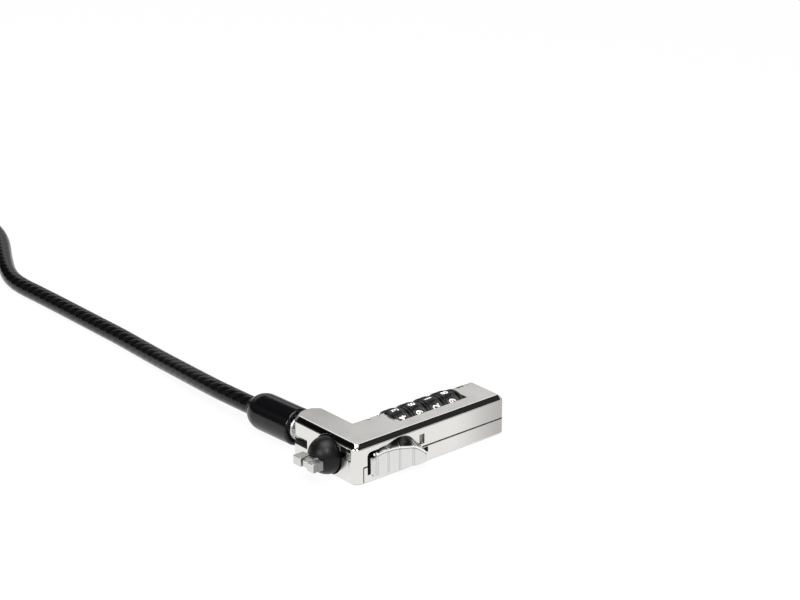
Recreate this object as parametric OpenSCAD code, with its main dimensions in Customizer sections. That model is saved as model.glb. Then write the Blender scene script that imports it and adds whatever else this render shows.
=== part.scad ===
// Laptop cable lock: an L-shaped body with four number dials, a thumb slider,
// a locking head that spreads inside the laptop's slot, and a steel cable on a
// swivel. Millimetres, +Z up. The origin is on the base, under the axis of the
// locking head. Inside the modules that are wrapped in placed(), X and Y are
// measured from the outer corner of the L instead.

/* [Housing] */
// Height of the body
body_h = 9.8; // [9.6:0.1:11]
// Length of the elbow, from the laptop side to the dials
elbow_l = 17.35; // [17.2:0.05:20]
// Length of the solid end beyond the dials
end_l = 7.75; // [7.5:0.05:12]
// Width of the long leg
leg_w = 11.8; // [11.7:0.1:13]
// Width of the swivel leg
arm_w = 9; // [9:0.1:11]
// Distance of the swivel pin from the front face
arm_l = 20.2; // [20:0.1:26]
// Distance of the swivel pin from the laptop side
pin_x = 4.6; // [4.6:0.1:5]
// Radius of the swivel leg's end, about the pin
arm_r = 4.95; // [4.85:0.05:5.2]
// Chamfer round the top face
top_chamfer = 1.05; // [0.6:0.05:1.2]
// Rounding of the chamfer's two edges
edge_soft = 0.22; // [0.1:0.02:0.3]
// Rounding of the bottom edge
base_round = 0.4; // [0.2:0.05:0.6]
// Radius of the elbow's outer corner
elbow_r = 2; // [1.6:0.1:3]
// Radius of the two corners at the end of the long leg
end_r = 1.4; // [1.4:0.05:2.5]

/* [Bottom cover] */
// Height of the seam between housing and cover
seam_z = 3.95; // [3.8:0.05:4.2]
// Width of the seam
seam_gap = 0.22; // [0.1:0.02:0.26]
// Left edge of the cover on the front face
cover_x = 2.45; // [2.3:0.05:2.8]
// Thickness of the cover's floor
floor_t = 1.2; // [0.8:0.1:1.4]
// Radius of the cover screws' heads
screw_head_r = 1.1; // [0.9:0.1:1.2]

/* [Dials] */
// Outer radius of a dial
dial_r = 5.1; // [4.9:0.05:5.2]
// Width of a dial
dial_w = 5; // [4.8:0.05:6]
// Gap between two dials
dial_gap = 0.1; // [0.06:0.01:0.2]
// Height of the dial axis above the base
dial_z = 5.6; // [5.5:0.05:5.8]
// Distance of the dial axis from the front face
dial_y = 8.8; // [8.7:0.05:9]
// Width of the band that carries the numerals, at a dial's left end
band_w = 2.5; // [2.4:0.05:2.7]
// Depth of the plain rings below the band
ring_step = 0.3; // [0.2:0.05:0.4]
// Depth of the groove between the two rings
groove_d = 1; // [0.7:0.1:1.2]
// Turn of the numerals from the top towards the front
dial_turn = 4; // [0:1:8]
// Radius of the notch between two numerals
notch_r = 0.45; // [0.3:0.05:0.6]
// Front edge of the dial window in the top face
window_y = 4.8; // [4.5:0.1:5]

/* [Lock works] */
// Travel of the slider
travel = 3; // [2:0.1:3]
// Radius of the spindle
spindle_r = 1.5; // [1.3:0.05:1.5]
// Outer radius of a code sleeve
sleeve_r = 3; // [2.9:0.05:3.2]
// Thickness of a fin on the spindle
fin_t = 1.2; // [1:0.05:1.2]
// Wire of the return spring
spring_wire = 0.4; // [0.3:0.05:0.4]
// Running clearance of shafts and bores
run_gap = 0.05; // [0.03:0.01:0.08]

/* [Locking head] */
// Height of the head's axis above the base
head_z = 4.8; // [4.75:0.05:4.9]
// Distance of the head's axis from the front face
head_y = 9.9; // [9.9:0.05:10]
// Radius of the nose ball
ball_r = 4.5; // [4.3:0.05:4.5]
// How far the ball's centre stands out of the laptop side
ball_out = 0.45; // [0.4:0.05:0.8]
// Reach of the jaws in front of the ball
jaw_reach = 2.75; // [2.5:0.05:3]
// Length of the jaws' hooked heads
hook_l = 3; // [2.6:0.1:3]
// Thickness of the jaws
jaw_t = 2.2; // [2.1:0.1:2.6]
// Width of the gap between the jaws at their front
jaw_gap = 0.9; // [0.9:0.1:1.4]
// Width of the front jaw's hooked head
front_hook_w = 3.7; // [3.6:0.1:3.9]
// Width of the back jaw's hooked head
back_hook_w = 2.75; // [2.7:0.05:2.9]
// How far each jaw closes over the slider's travel
jaw_close = 0.4; // [0.3:0.05:0.4]

/* [Thumb slider] */
// Left edge of the slider's pocket
pocket_x = 3.5; // [3.3:0.05:3.6]
// Depth of the slider's pocket
pocket_d = 1.3; // [1:0.05:1.4]
// Bottom of the slider
slider_z = 1.2; // [1.1:0.05:1.6]
// Radius of the rolled left edge
curl_r = 0.7; // [0.6:0.05:0.7]

/* [Cable] */
// Diameter of the cable
cable_d = 4.4; // [4.2:0.1:4.4]
// Angle by which the cable is swung towards the laptop side
swing = 3; // [0:0.1:10]
// Height of the cable's axis where it leaves the lock
exit_z = 4.7; // [4.7:0.05:5]
// Radius of the ferrule
ferrule_r = 4.6; // [4.4:0.05:4.65]
// Distance from the swivel pin to the ferrule's far end
ferrule_end = 22.3; // [21:0.1:24]
// Thickness of the swivel's tongue
tongue_t = 1.9; // [1.6:0.05:2]
// Radius of the swivel pin
pin_r = 1.3; // [1.1:0.05:1.4]

/* [Hidden] */
$fn = 48;
eps = 0.01;
big = 60;

// Origin, measured from the outer corner of the L.
datum_x = 8;
datum_y = head_y;

// Dial stack and long leg.
dial_count = 4;
numerals = 10;
dial_pitch = dial_w + dial_gap;
bay_gap = 0.15;
bay_x0 = elbow_l;
bay_x1 = bay_x0 + dial_count * dial_pitch - dial_gap + 2 * bay_gap;
leg_l = bay_x1 + end_l;
dial_x0 = bay_x0 + bay_gap;
bay_room = 0.25;
rim_w = 0.6;
ring_groove_w = 0.6;

// Spring and wedge flange, the widest pieces in the cavity.
spring_turns = 4;
spring_r = spindle_r + spring_wire / 2 + 0.2;
spring_l = 1.9;
flange_r = 1.1;
flange_t = 0.7;
link_z1 = dial_z + spring_r + spring_wire / 2 + 0.4;

// Cavity behind the laptop side, which holds the draw link.
stem_wall = 1.2;
cup_r = ball_r + 0.3;
cup_bottom = cup_r - ball_out;
cavity_x0 = cup_bottom + stem_wall - 0.15;
bearing_t = 2.15;
cavity_x1 = bay_x0 - bearing_t;
cavity_y0 = pocket_d + 0.6;
cavity_y1 = head_y + flange_r + 0.25;
cavity_z1 = link_z1 + 0.3;
cover_step_y = head_y - cup_r - 0.5;

// Head and wedge.
ball_x = -ball_out;
jaw_front_x = ball_x - ball_r - jaw_reach;
jaw_mid_y = head_y + 0.12;
jaw_z = head_z - 0.1;
taper = jaw_close / travel;
blade_back = 1.1;
blade_l = 2.4;
blade_x0 = jaw_front_x + blade_back;
blade_x1 = blade_x0 + blade_l;
jaw_deep_x = blade_x1 + travel;
shank_t = 0.8;
jaw_end_x = 0.9;
foot_l = 1.8;
foot_out = 0.5;
rod_r = 0.7;
stem_r = 2.2;
stem_x0 = cup_bottom - 1.25;
stem_x1 = cavity_x0 + 1.2;
clip_t = 0.5;
clip_x0 = cavity_x0 + 0.1;
clip_r = 3;
flange_x0 = stem_x1 + 1.5;

// Draw link, spindle and slider.
link_t = 0.8;
link_x0 = flange_x0 - run_gap - link_t;
link_x1 = flange_x0 + flange_t + run_gap + link_t;
link_z0 = 6.3;
link_y0 = cavity_y0 + 0.3;
link_arm_w = 1.4;
lever_x = 0.1;
lever_z0 = 5.65;
lever_z1 = link_z1 - 0.4;
spindle_x1 = bay_x1 + 2.6;
bush_l = 2.2;
fin_x = 0.25;
fin_r = sleeve_r - 0.6;
fin_w = 1.1;
gate_gap = 0.2;
gate_x0 = fin_x + fin_t + gate_gap;
gate_x1 = fin_x + travel - gate_gap;
screw_tip_x = spindle_x1 + travel + 0.25;
slider_x0 = pocket_x + curl_r + 0.7;
slider_gap = 0.08;
lug_x0 = link_x0 - 0.2;
lug_l = 2;

// Swivel, ferrule and cable.
tongue_z = seam_z + 0.35;
tongue_gap = 0.1;
eye_r = 2.7;
tongue_w = 2.5;
collar_s = arm_r + 0.15;
collar_r = 3.1;
neck_r = 2.7;
neck_s = 15;
mouth_s = collar_s + 0.5;
cable_r = cable_d / 2;

// ---------------------------------------------------------------- helpers

module placed() {
    translate([-datum_x, -datum_y, 0])
        children();
}

// A cylinder along X from x0 to x1, about the line through y and z.
module bar_x(x0, x1, r, y, z) {
    translate([x0, y, z])
        rotate([0, 90, 0])
            cylinder(r = r, h = x1 - x0);
}

// A box between two corners.
module block(low, high) {
    translate(low)
        cube(high - low);
}

// An outline in X and Z, given thickness from y0 to y1.
module upright(y0, y1) {
    translate([0, y1, 0])
        rotate([90, 0, 0])
            linear_extrude(y1 - y0)
                children();
}

// The swivel's own frame: the pin at its origin, the cable along +Y.
module swung() {
    placed()
        translate([pin_x, arm_l, 0])
            rotate([0, 0, swing])
                children();
}

// A profile of [radius, distance] points, turned about the cable's axis.
module turned(profile) {
    translate([0, 0, exit_z])
        rotate([-90, 0, 0])
            rotate_extrude()
                polygon(profile);
}

function mix(a, b, t) = a + (b - a) * t;
function ease(t) = let (c = min(max(t, 0), 1)) c * c * (3 - 2 * c);
function unit(v) = v / norm(v);

// A tube of n sides through points p. Its rings stand square to the path.
function tangent(p, i) =
    unit(p[min(i + 1, len(p) - 1)] - p[max(i - 1, 0)]);
function tube_points(p, r, n) = [
    for (i = [0 : len(p) - 1])
        let (t = tangent(p, i))
        let (side = unit(cross([0, 0, 1], t)))
        let (up = cross(t, side))
        for (k = [0 : n - 1])
            p[i] + r * (cos(360 * k / n) * side + sin(360 * k / n) * up)
];
function tube_faces(rings, n) = concat(
    [[for (k = [0 : n - 1]) k]],
    [[for (k = [0 : n - 1]) (rings - 1) * n + n - 1 - k]],
    [
        for (i = [0 : rings - 2])
            for (k = [0 : n - 1])
                let (a = i * n + k)
                let (b = i * n + (k + 1) % n)
                for (face = [[a, a + n, b], [b, a + n, b + n]])
                    face
    ]
);
module tube(p, r, n) {
    polyhedron(tube_points(p, r, n), tube_faces(len(p), n), convexity = 10);
}

// ---------------------------------------------------------------- housing

// Inset and height of the body's edge, from the base to the top face.
function bend(a, b, c, t) = mix(mix(a, b, t), mix(b, c, t), t);
chamfer_cut = edge_soft / sqrt(2);
edge_profile = concat(
    [
        for (a = [0 : 30 : 90])
            [base_round * (1 - sin(a)), base_round * (1 - cos(a))]
    ],
    [
        for (t = [0 : 1 / 3 : 1])
            bend(
                [0, body_h - top_chamfer - edge_soft],
                [0, body_h - top_chamfer],
                [chamfer_cut, body_h - top_chamfer + chamfer_cut],
                t
            )
    ],
    [
        for (t = [0 : 1 / 3 : 1])
            bend(
                [top_chamfer - chamfer_cut, body_h - chamfer_cut],
                [top_chamfer, body_h],
                [top_chamfer + edge_soft, body_h],
                t
            )
    ]
);

// One leg: its corners are given as [x, y, radius].
module leg(corners) {
    hull()
        for (c = corners)
            for (i = [0 : len(edge_profile) - 2])
                let (a = edge_profile[i])
                let (b = edge_profile[i + 1])
                translate([c.x, c.y, a.y])
                    cylinder(r1 = c.z - a.x, r2 = c.z - b.x, h = b.y - a.y, $fn = 32);
}

// The swivel leg is a straight band whose end is cut to an arc round the pin.
module body_solid() {
    leg([
        [elbow_r, elbow_r, elbow_r],
        [leg_l - end_r, end_r, end_r],
        [leg_l - end_r, leg_w - end_r, end_r],
        [elbow_r, leg_w - end_r, end_r]
    ]);
    intersection() {
        leg([
            [elbow_r, elbow_r, elbow_r],
            [arm_w - end_r, elbow_r, end_r],
            [arm_w - end_r, arm_l + 2 * arm_r, end_r],
            [end_r, arm_l + 2 * arm_r, end_r]
        ]);
        leg([[pin_x, arm_r, arm_r], [pin_x, arm_l, arm_r]]);
    }
}

// The room that the bottom cover takes, grown by g.
module cover_room(g) {
    translate([0, 0, -1])
        linear_extrude(seam_z + g + 1)
            polygon([
                [cover_x - g, -1],
                [leg_l + 1, -1],
                [leg_l + 1, leg_w + g],
                [cavity_x0 - g, leg_w + g],
                [cavity_x0 - g, cover_step_y + g],
                [cover_x - g, cover_step_y + g]
            ]);
}

// The bay of the dials: open on top, at the back and below.
module dial_bay() {
    bar_x(bay_x0, bay_x1, dial_r + bay_room, dial_y, dial_z);
    block([bay_x0, window_y, dial_z], [bay_x1, leg_w + 1, body_h + 1]);
    block([bay_x0, dial_y, -1], [bay_x1, leg_w + 1, dial_z + 1]);
    block([bay_x0, dial_y - dial_r / 2, -1], [bay_x1, dial_y + 1, floor_t]);
    // Pocket of the detent leaf, in front of the dials.
    block([bay_x0, leaf_y0, leaf_z0], [bay_x1, dial_y - 4, leaf_z1]);
}

// Everything that the link and the slider need: cavity, tunnel and slots.
module link_room() {
    block([cavity_x0, cavity_y0, floor_t], [cavity_x1, cavity_y1, cavity_z1]);
    bar_x(cavity_x0, stem_x1 + 0.15, clip_r + 0.3, head_y, head_z);
    block(
        [-1, cavity_y0, lever_z0 - 0.15],
        [cavity_x0 + 1, link_y0 + link_arm_w + 0.2, cavity_z1]
    );
    // Window beside the ball, through which the link's lever end shows.
    block([-1, cavity_y0, lever_z0 - 0.15], [1.6, cover_step_y + 1, cavity_z1]);
    // Slot for the slider's lug.
    block(
        [lug_x0 - 0.1, 0, link_z0],
        [lug_x0 + lug_l + travel + 0.1, cavity_y0 + 1, link_z0 + 1.3]
    );
}

// The pocket on the front face in which the slider runs.
pocket_x1 = 17.8;
pocket_z0 = 1.9;
pocket_z1 = 7.5;
module slider_pocket() {
    upright(-1, pocket_d)
        polygon([
            [pocket_x, pocket_z0],
            [pocket_x, pocket_z1 - 0.9],
            [pocket_x + 0.3, pocket_z1 - 0.3],
            [pocket_x + 0.9, pocket_z1],
            [pocket_x1 - 2, pocket_z1],
            [pocket_x1, pocket_z1 - 1.4],
            [pocket_x1, pocket_z0]
        ]);
    // Short rail slot at the slider's tail.
    block([pocket_x1 - 1, -1, 2.4], [slider_x1 + 0.4, 0.7, 3.7]);
}

// The cup and bore that hold the head.
module head_seat() {
    translate([ball_x, head_y, head_z])
        sphere(r = cup_r, $fn = 64);
    bar_x(0, cavity_x0 + eps, stem_r + run_gap, head_y, head_z);
}

module spindle_bores() {
    bar_x(cavity_x1 - eps, bay_x0 + eps, spindle_r + run_gap, dial_y, dial_z);
    bar_x(bay_x1 - eps, bay_x1 + bush_l, sleeve_r, dial_y, dial_z);
    bar_x(bay_x1, screw_tip_x - 0.2, spindle_r + 0.1, dial_y, dial_z);
    bar_x(bay_x1, leg_l, screw_shank_r + run_gap, dial_y, dial_z);
    bar_x(leg_l - screw_head_l, leg_l + 1, screw_r + run_gap, dial_y, dial_z);
}

// The slot in the arm's end in which the swivel's tongue swings.
slot_y = arm_l - 2.45;
module swivel_slot() {
    z0 = tongue_z - tongue_t / 2 - tongue_gap;
    z1 = tongue_z + tongue_t / 2 + tongue_gap;
    block([-1, slot_y, z0], [arm_w + 1, arm_l + arm_r + 1, z1]);
    translate([pin_x, arm_l, z0])
        cylinder(r = eye_r + 0.3, h = z1 - z0);
}

// Cover screws, given as [x, y].
screw_spots = [
    [(cover_x + cavity_x0) / 2 + 0.15, cavity_y0 + 1.5],
    [bay_x1 + 2.2, 3],
    [leg_l - 2.6, 3]
];
screw_z1 = lever_z0 - 0.4;

// Small engraved marks near the back edge of the top face.
mark_y = leg_w - 1.4;
mark_d = 0.15;
module marks() {
    translate([0, 0, body_h - mark_d]) {
        for (x = [bay_x0 - 4.9, bay_x0 - 1.9, leg_l - 2.8])
            translate([x, mark_y, 0])
                cylinder(r = 0.35, h = 1);
        translate([bay_x1 + 1.7, mark_y - 0.25, 0])
            cube([2, 0.5, 1]);
    }
}

// The half-round finger notch above the slider's tail.
module reset_notch() {
    translate([slider_x1 - 1.45, 0, 4.9])
        cylinder(r = 0.75, h = 2.4);
}

module upper_housing() {
    color("#c9c7c3")
        placed()
            difference() {
                body_solid();
                cover_room(seam_gap);
                dial_bay();
                link_room();
                slider_pocket();
                head_seat();
                spindle_bores();
                swivel_slot();
                translate([pin_x, arm_l, -1])
                    cylinder(r = pin_r, h = pin_top + 1);
                translate([pin_x, arm_l, -1])
                    cylinder(r = pin_head_r, h = pin_head_t + 1);
                for (s = screw_spots)
                    translate([s.x, s.y, -1])
                        cylinder(r = screw_shank, h = screw_z1 + 1);
                marks();
                reset_notch();
            }
}

module bottom_cover() {
    color("#bdbbb8")
        placed()
            difference() {
                intersection() {
                    body_solid();
                    cover_room(0);
                }
                dial_bay();
                link_room();
                slider_pocket();
                spindle_bores();
                for (s = screw_spots)
                    translate([s.x, s.y, -1]) {
                        cylinder(r = screw_shank, h = body_h);
                        cylinder(r = screw_head_r, h = screw_head_t + 1);
                    }
            }
}

// Three tamper-proof screws with a round socket, driven in from below.
screw_shank = 0.6;
screw_head_t = 0.6;
module cover_screws() {
    color("#8d8c8a")
        placed()
            for (s = screw_spots)
                translate([s.x, s.y, 0])
                    difference() {
                        union() {
                            cylinder(r = screw_shank, h = screw_z1);
                            cylinder(r = screw_head_r, h = screw_head_t);
                        }
                        translate([0, 0, -eps])
                            cylinder(r = screw_shank / 2, h = screw_head_t / 2);
                    }
}

// ---------------------------------------------------------------- dials

// Outline of a dial as [radius, distance along the axis]: the number band, a
// ring with two thin ribs, a deep groove, and a plain rim.
function dial_profile() =
    let (soft = 0.12)
    let (ring_r = dial_r - ring_step)
    let (floor_r = dial_r - groove_d)
    let (rim_x = dial_w - rim_w)
    let (ring_x = rim_x - ring_groove_w)
    let (rib_x = [band_w + 0.35, band_w + 0.8])
    concat(
        [
            [sleeve_r, 0],
            [dial_r - soft, 0],
            [dial_r, soft],
            [dial_r, band_w - soft],
            [dial_r - soft, band_w],
            [ring_r, band_w]
        ],
        [
            for (x = rib_x)
                for (p = [[0, -soft], [soft, -soft / 2], [soft, soft / 2], [0, soft]])
                    [ring_r + p.x, x + p.y]
        ],
        [
            [ring_r, ring_x],
            [floor_r, ring_x],
            [floor_r, rim_x],
            [ring_r, rim_x],
            [ring_r, dial_w - soft],
            [ring_r - soft, dial_w],
            [sleeve_r, dial_w]
        ]
    );

module at_dial(k) {
    placed()
        translate([dial_x0 + (k - 1) * dial_pitch, dial_y, dial_z])
            rotate([0, 90, 0])
                children();
}

// Ten number pads with a round notch between each two.
module dial(k) {
    color("#1c1c1e")
        at_dial(k)
            difference() {
                rotate_extrude($fn = 80)
                    polygon(dial_profile());
                for (n = [0 : numerals - 1])
                    rotate([0, 0, dial_turn + (n + 0.5) * 360 / numerals])
                        translate([dial_r + 0.1, 0, -1])
                            cylinder(r = notch_r, h = band_w + 1, $fn = 16);
            }
}

// The sleeve inside a dial. Its inner wall parts the chamber in which the fin
// stands while the lock is shut from the one that it reaches when the lock is
// open, and a gate in the wall lets the fin through at the right number only.
module code_sleeve(k) {
    color("#b08d57")
        at_dial(k)
            difference() {
                cylinder(r = sleeve_r, h = dial_w);
                translate([0, 0, -1])
                    cylinder(r = spindle_r + run_gap, h = dial_w + 2);
                translate([0, 0, -1])
                    cylinder(r = fin_r + 0.1, h = gate_x0 + 1);
                translate([0, 0, gate_x1])
                    cylinder(r = fin_r + 0.1, h = dial_w);
                translate([-fin_r - 0.1, -fin_w / 2 - 0.1, -1])
                    cube([fin_r, fin_w + 0.2, dial_w + 2]);
            }
}

module dial_1() dial(1);
module dial_2() dial(2);
module dial_3() dial(3);
module dial_4() dial(4);
module code_sleeve_1() code_sleeve(1);
module code_sleeve_2() code_sleeve(2);
module code_sleeve_3() code_sleeve(3);
module code_sleeve_4() code_sleeve(4);

// ---------------------------------------------------------------- lock works

// The spindle carries one fin for each dial and slides with the draw link.
module spindle() {
    color("#9a9a9a")
        placed() {
            bar_x(link_x1, spindle_x1, spindle_r, dial_y, dial_z);
            for (k = [0 : dial_count - 1])
                translate([dial_x0 + k * dial_pitch + fin_x, dial_y - fin_w / 2, dial_z])
                    cube([fin_t, fin_w, fin_r]);
        }
}

module spindle_bush() {
    color("#b08d57")
        placed()
            difference() {
                bar_x(bay_x1, bay_x1 + bush_l, sleeve_r, dial_y, dial_z);
                bar_x(bay_x1 - 1, spindle_x1, spindle_r + run_gap, dial_y, dial_z);
            }
}

// A leaf spring with one rounded finger for each dial.
leaf_t = 0.3;
leaf_h = 3.2;
leaf_wall = 0.6;
leaf_y0 = cavity_y0 + leaf_wall;
leaf_z0 = dial_z - leaf_h / 2;
leaf_z1 = dial_z + leaf_h / 2;
finger_r = 0.45;
finger_w = 1.6;
finger_t = 0.4;
finger_gap = 0.06;
module detent_leaf() {
    finger_y = dial_y - dial_r - finger_r - finger_gap;
    color("#7f8184")
        placed() {
            block([bay_x0, leaf_y0, leaf_z0], [bay_x1, leaf_y0 + leaf_t, leaf_z1]);
            for (k = [0 : dial_count - 1]) {
                x = dial_x0 + k * dial_pitch + (band_w - finger_w) / 2;
                bar_x(x, x + finger_w, finger_r, finger_y, dial_z);
                block(
                    [x, leaf_y0, dial_z - finger_t / 2],
                    [x + finger_w, finger_y, dial_z + finger_t / 2]
                );
            }
        }
}

// The return spring, drawn at the length it has when the slider is pulled.
module return_spring() {
    steps = 10;
    coil = [
        for (i = [0 : spring_turns * steps])
            let (a = 360 * i / steps)
            let (u = i / (spring_turns * steps))
            [
                link_x1 + spring_wire / 2 + (spring_l - spring_wire) * u,
                dial_y + spring_r * cos(a),
                dial_z + spring_r * sin(a)
            ]
    ];
    color("#c0c2c4")
        placed()
            polyhedron(
                [
                    for (i = [0 : len(coil) - 1])
                        let (out = unit([0, coil[i].y - dial_y, coil[i].z - dial_z]))
                        for (k = [0 : 5])
                            coil[i] + spring_wire / 2 *
                                (cos(60 * k) * out - sin(60 * k) * [1, 0, 0])
                ],
                tube_faces(len(coil), 6),
                convexity = 10
            );
}

// The slotted screw in the end face, turned to set a new code.
screw_r = 1.3;
screw_shank_r = 0.9;
screw_head_l = 0.9;
module reset_screw() {
    color("#a5a5a3")
        placed()
            difference() {
                union() {
                    bar_x(screw_tip_x, leg_l - 0.5, screw_shank_r, dial_y, dial_z);
                    bar_x(leg_l - screw_head_l, leg_l - 0.1, screw_r, dial_y, dial_z);
                }
                block(
                    [leg_l - 0.5, dial_y - screw_r - 1, dial_z - 0.25],
                    [leg_l + 1, dial_y + screw_r + 1, dial_z + 0.25]
                );
            }
}

// ---------------------------------------------------------------- slider

// Right end of the slider on the front face.
slider_x1 = 21.3;
// The ribs on the slider's front, as [x, how far they stand out].
ribs = [
    [slider_x0, 0.62],
    [slider_x0 + 1, 0.8],
    [slider_x0 + 4, 1.1],
    [slider_x0 + 7, 1.6],
    [slider_x0 + 10.7, 2.05],
    [slider_x1 - 2.4, 2.2]
];
// Height of the slider's top edge along X.
hump_x = slider_x0 + 5.4;
arch = [
    [slider_x0, 7.3],
    [hump_x - 1.8, 7.5],
    [hump_x - 0.8, 7.78],
    [hump_x + 0.2, 8.17],
    [hump_x + 1.2, 8.5],
    [hump_x + 2.1, 8.66],
    [hump_x + 3.2, 8.7],
    [hump_x + 4.7, 8.48],
    [hump_x + 5.7, 8.02],
    [hump_x + 6.9, 7],
    [hump_x + 8.2, 5.8],
    [hump_x + 9.1, 4.9],
    [hump_x + 9.9, 3.8],
    [hump_x + 10.5, 2.8],
    [slider_x1, 2.2]
];
// Height of the crease between the top facet and the front.
crease = [
    [slider_x0, 6.9],
    [slider_x0 + 1, 6.8],
    [hump_x, 6.84],
    [hump_x + 1.6, 6.8],
    [hump_x + 3.1, 6.4],
    [hump_x + 4.5, 6.08],
    [hump_x + 5.5, 5.9],
    [hump_x + 6.6, 5.3],
    [hump_x + 8.2, 4],
    [hump_x + 9.3, 3.1],
    [hump_x + 10.1, 2.5],
    [slider_x1, 1.8]
];
scallop = 0.2;
swell = 0.3;
function rib_of(x, k = 0) = x <= ribs[k + 1].x || k == len(ribs) - 2 ? k : rib_of(x, k + 1);
// Hollow between two ribs, and full beyond the last one.
function bulge(x) =
    let (k = rib_of(x))
    let (u = (x - ribs[k].x) / (ribs[k + 1].x - ribs[k].x))
    mix(ribs[k].y, ribs[k + 1].y, u) + (k == len(ribs) - 2 ? swell : -scallop) * 4 * u * (1 - u);
// The front stands out by bulge(), held back by 45-degree slopes at the end.
function stand_out(x) = max(min(
    bulge(min(x, slider_x1 - 2.4)),
    slider_x1 - x,
    lookup(x, arch) - slider_z - 0.4
), 0.12);

slider_stations = 56;
curl_z1 = 6.8;
runner_z1 = 6.1;
module slider_shell() {
    edge_r = 0.09;
    ring = 7;
    stations = [
        for (i = [0 : slider_stations])
            mix(slider_x0, slider_x1, i / slider_stations)
    ];
    polyhedron(
        [
            for (x = stations)
                let (p = stand_out(x))
                let (top = lookup(x, arch))
                let (brow = lookup(x, crease))
                let (soft = min(edge_r, p / 3))
                for (q = [
                    [-slider_gap, slider_z],
                    [-slider_gap, top],
                    [-p + soft, brow + soft],
                    [-p, brow - soft],
                    [-p, mix(slider_z, brow, 0.5)],
                    [-p, slider_z + min(0.25, p / 2)],
                    [-p + min(0.25, p / 2) - 0.01, slider_z]
                ])
                    [x, q.x, q.y]
        ],
        tube_faces(len(stations), ring),
        convexity = 6
    );
}

module slider() {
    color("#d8d8d6")
        placed() {
            slider_shell();
            // Rolled left edge, with a small domed end.
            translate([pocket_x + 0.7 + curl_r, 0, pocket_z0 + 0.1])
                cylinder(r = curl_r, h = curl_z1 - pocket_z0 - 0.1);
            translate([pocket_x + 0.7 + curl_r, 0, curl_z1])
                sphere(r = curl_r * 0.6);
            // Runner in the pocket and lug through to the draw link.
            block(
                [slider_x0 - 0.6, -0.3, pocket_z0 + 0.1],
                [pocket_x1 - travel - 0.2, pocket_d - 0.1, runner_z1]
            );
            block(
                [lug_x0, 0, link_z0 + 0.1],
                [lug_x0 + lug_l, link_y0, link_z0 + 1.2]
            );
            block(
                [lug_x0 - 0.4, -0.3, 5.5],
                [lug_x0 + lug_l + 0.4, pocket_d - 0.1, link_z0 + 1.1]
            );
        }
}

// A fork that pulls the wedge pin, a cross bar, and an arm whose end shows
// in the window beside the ball.
module draw_link() {
    fork_y0 = dial_y - spindle_r;
    fork_y1 = cavity_y1 - 0.1;
    fork_z0 = head_z - flange_r - 0.4;
    color("#8f9194")
        placed()
            difference() {
                union() {
                    block([lever_x, link_y0, lever_z0], [link_x1, link_y0 + link_arm_w, lever_z1]);
                    block([link_x0, link_y0, link_z0], [link_x1, fork_y1, link_z1]);
                    block([link_x0, fork_y0, fork_z0], [link_x0 + link_t, fork_y1, link_z1]);
                    block([link_x1 - link_t, fork_y0, fork_z0], [link_x1, fork_y1, link_z1]);
                }
                // Slot for the wedge pin's rod.
                block(
                    [link_x0 - 1, head_y - rod_r - 0.1, fork_z0 - 1],
                    [link_x0 + link_t + eps, head_y + rod_r + 0.1, head_z + rod_r + 0.1]
                );
            }
}

// ---------------------------------------------------------------- head

// Inner face of a jaw: its distance from the jaws' middle line at x.
function jaw_in(x) = jaw_gap / 2 + taper * (min(x, jaw_deep_x) - jaw_front_x);
shank_in = jaw_in(jaw_deep_x);
shank_out = shank_in + shank_t;

// Jaw outline on the +Y side of the middle line, for a hook of width w.
module jaw_plan(w) {
    polygon([
        [jaw_front_x, jaw_gap / 2],
        [jaw_front_x, jaw_gap / 2 + w],
        [jaw_front_x + hook_l, jaw_gap / 2 + w],
        [jaw_front_x + hook_l, shank_out],
        [jaw_end_x - foot_l, shank_out],
        [jaw_end_x - foot_l, shank_out + foot_out],
        [jaw_end_x, shank_out + foot_out],
        [jaw_end_x, shank_in],
        [jaw_deep_x, shank_in]
    ]);
}

module jaw_plate(side) {
    translate([0, jaw_mid_y, jaw_z - jaw_t / 2])
        mirror([0, side < 0 ? 1 : 0, 0])
            linear_extrude(jaw_t)
                children();
}

// The front jaw has a groove along its top, and a step below its inner half.
module jaw_front() {
    hook_end_x = jaw_front_x + hook_l;
    groove_y = jaw_mid_y - jaw_gap / 2 - front_hook_w / 2;
    step_y = jaw_mid_y - jaw_gap / 2 - 1.4;
    color("#cfcfcd")
        placed()
            difference() {
                jaw_plate(-1)
                    jaw_plan(front_hook_w);
                block(
                    [jaw_front_x - 1, groove_y, jaw_z + jaw_t / 2 - 0.3],
                    [hook_end_x + 1, groove_y + 0.4, jaw_z + jaw_t]
                );
                block(
                    [jaw_front_x - 1, step_y, jaw_z - jaw_t],
                    [hook_end_x, jaw_mid_y, jaw_z - jaw_t / 2 + 0.5]
                );
            }
}

module jaw_back() {
    color("#cfcfcd")
        placed()
            jaw_plate(1)
                jaw_plan(back_hook_w);
}

// The ball: a cross slot for the jaws with a wider pocket for their feet, a
// bore for the wedge pin, and a seat for the stem.
module nose_ball() {
    half_t = jaw_t / 2 + 0.05;
    color("#222224")
        placed()
            difference() {
                translate([ball_x, head_y, head_z])
                    sphere(r = ball_r, $fn = 64);
                block(
                    [ball_x - big, jaw_mid_y - shank_out - 0.1, jaw_z - half_t],
                    [jaw_end_x + 0.1, jaw_mid_y + shank_out + 0.1, jaw_z + half_t]
                );
                block(
                    [
                        jaw_end_x - foot_l - 0.1,
                        jaw_mid_y - shank_out - foot_out - 0.1,
                        jaw_z - half_t
                    ],
                    [
                        jaw_end_x + 0.1,
                        jaw_mid_y + shank_out + foot_out + 0.1,
                        jaw_z + half_t
                    ]
                );
                bar_x(0, big, rod_r + run_gap, head_y, head_z);
                bar_x(stem_x0, big, stem_r, head_y, head_z);
            }
}

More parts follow.
